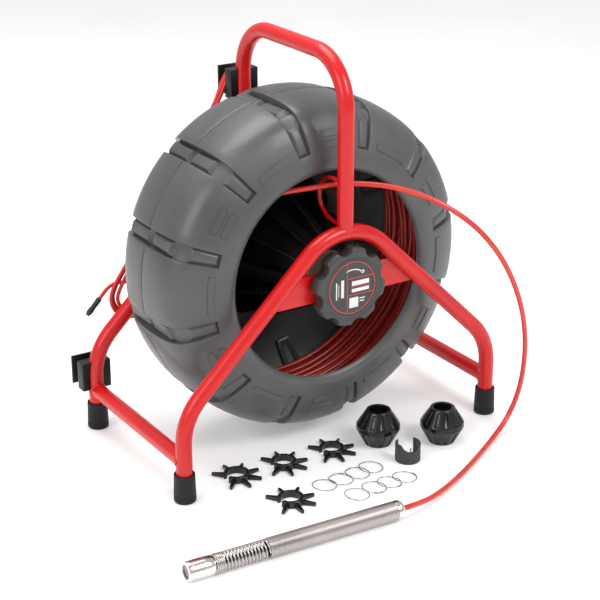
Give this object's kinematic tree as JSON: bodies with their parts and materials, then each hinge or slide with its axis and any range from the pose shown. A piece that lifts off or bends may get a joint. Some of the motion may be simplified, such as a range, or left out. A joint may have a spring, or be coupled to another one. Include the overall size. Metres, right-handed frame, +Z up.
{
  "type": "inspection camera",
  "caption": "Drain inspection camera: a bent-tube frame carries a moulded drum of push cable with a lock knob, a sprung camera head and clip-on centring guides.",
  "frame": {"origin": "on the floor under the middle of the frame, half way between the two A-frames", "axes": "+Z up, the lock knob and the drum opening face -Y, +X is to the right seen from the knob side; the drum turns about Y"},
  "size_m": [0.707, 0.5745, 0.6577],
  "materials": {
    "frame_red": "glossy powder coat",
    "foot_rubber": "matt moulded rubber",
    "black_plastic": "moulded, satin",
    "black_rubber": "matt",
    "drum_plastic": "rotationally moulded, fine pebble",
    "knob_plastic": "fine moulded texture",
    "label": "printed label, gloss",
    "push_cable_jacket": "smooth jacket",
    "system_cable_jacket": "smooth jacket",
    "plug_plastic": "moulded",
    "plated_steel": "zinc plated",
    "brake_lining": "friction lining",
    "bright_steel": "turned and polished",
    "spring_steel": "drawn wire",
    "window_glass": "clear",
    "light_ring": "lights behind a clear ring",
    "dark_core": "satin",
    "guide_plastic": "moulded",
    "ring_wire": "bright wire"
  },
  "bodies": {
    "frame": {"axle_nut": "plated_steel", "axle_shaft": "plated_steel", "axle_washer": "plated_steel", "cable_ferrule": "bright_steel", "camera_spring": "spring_steel", "front_cross_plate": "frame_red", "front_frame_tube": "frame_red", "front_left_foot": "foot_rubber", "front_right_foot": "foot_rubber", "guide_loop": "frame_red", "guide_pad": "black_plastic", "handle_tube": "frame_red", "knob_screw": "plated_steel", "left_side_rail": "frame_red", "lower_cable_wrap": "black_plastic", "push_cable": "push_cable_jacket", "rear_cross_plate": "frame_red", "rear_frame_tube": "frame_red", "rear_left_foot": "foot_rubber", "rear_right_foot": "foot_rubber", "right_side_rail": "frame_red", "slip_ring_housing": "black_plastic", "spring_cord": "dark_core", "system_cable": "system_cable_jacket", "system_cable_gland": "black_rubber", "system_cable_hank": "system_cable_jacket", "system_cable_plug": "plug_plastic", "system_cable_tail": "system_cable_jacket", "transmitter": "dark_core", "transmitter_sleeve": "spring_steel", "upper_cable_wrap": "black_plastic"},
    "drum": {"drum_front_shell": "drum_plastic", "drum_rear_shell": "drum_plastic", "hub_core": "black_plastic", "front_bearing": "plated_steel", "rear_bearing": "plated_steel", "hub_bolts": "plated_steel", "slip_ring_rotor": "black_plastic", "cable_junction_box": "black_plastic", "junction_connector": "plated_steel", "stored_cable": "push_cable_jacket"},
    "knob": {"lock_knob": "knob_plastic", "knob_label": "label"},
    "brake": {"brake_ring": "brake_lining", "brake_pins": "plated_steel"},
    "camera_head": {"camera_body": "bright_steel", "camera_window": "window_glass", "light_ring": "light_ring"},
    "camera_core": {"levelling_core": "dark_core"},
    "loose_star_1": {"star_guide_1": "guide_plastic"},
    "loose_star_2": {"star_guide_2": "guide_plastic"},
    "loose_star_3": {"star_guide_3": "guide_plastic"},
    "loose_star_4": {"star_guide_4": "guide_plastic"},
    "loose_ball_1": {"ball_guide_1": "guide_plastic"},
    "loose_ball_2": {"ball_guide_2": "guide_plastic"},
    "loose_collar": {"collar_clip": "guide_plastic"},
    "loose_rings": {"wire_rings": "ring_wire"}
  },
  "joints": [
    {"name": "drum_spin", "type": "hinge", "parent": "frame", "child": "drum", "pos_m": [0, 0, 0.294], "axis": [0, 1, 0], "continuous": true},
    {"name": "knob_turn", "type": "hinge", "parent": "frame", "child": "knob", "pos_m": [0, -0.159, 0.294], "axis": [0, -1, 0], "range_deg": [0, 90]},
    {"name": "brake_slide", "type": "slide", "parent": "frame", "child": "brake", "axis": [0, 1, 0], "range_m": [0, 0.003]},
    {"name": "camera_bend", "type": "hinge", "parent": "frame", "child": "camera_head", "pos_m": [-0.30559, -0.35794, 0.015], "axis": [0, 0, 1], "range_deg": [-30, 30], "deforming": ["camera_spring", "spring_cord"]},
    {"name": "camera_level", "type": "hinge", "parent": "camera_head", "child": "camera_core", "pos_m": [-0.37852, -0.35469, 0.015], "axis": [0.999, -0.0445, 0], "continuous": true},
    {"name": "star_1_lift", "type": "slide", "parent": "frame", "child": "loose_star_1", "axis": [0, 0, 1], "range_m": [0, 0.02]},
    {"name": "star_2_lift", "type": "slide", "parent": "frame", "child": "loose_star_2", "axis": [0, 0, 1], "range_m": [0, 0.02]},
    {"name": "star_3_lift", "type": "slide", "parent": "frame", "child": "loose_star_3", "axis": [0, 0, 1], "range_m": [0, 0.02]},
    {"name": "star_4_lift", "type": "slide", "parent": "frame", "child": "loose_star_4", "axis": [0, 0, 1], "range_m": [0, 0.02]},
    {"name": "ball_1_lift", "type": "slide", "parent": "frame", "child": "loose_ball_1", "axis": [0, 0, 1], "range_m": [0, 0.02]},
    {"name": "ball_2_lift", "type": "slide", "parent": "frame", "child": "loose_ball_2", "axis": [0, 0, 1], "range_m": [0, 0.02]},
    {"name": "collar_lift", "type": "slide", "parent": "frame", "child": "loose_collar", "axis": [0, 0, 1], "range_m": [0, 0.02]},
    {"name": "rings_lift", "type": "slide", "parent": "frame", "child": "loose_rings", "axis": [0, 0, 1], "range_m": [0, 0.02]}
  ],
  "couplings": [
    {"joint": "brake_slide", "follows": "knob_turn", "m_per_rad": 0.0019}
  ]
}
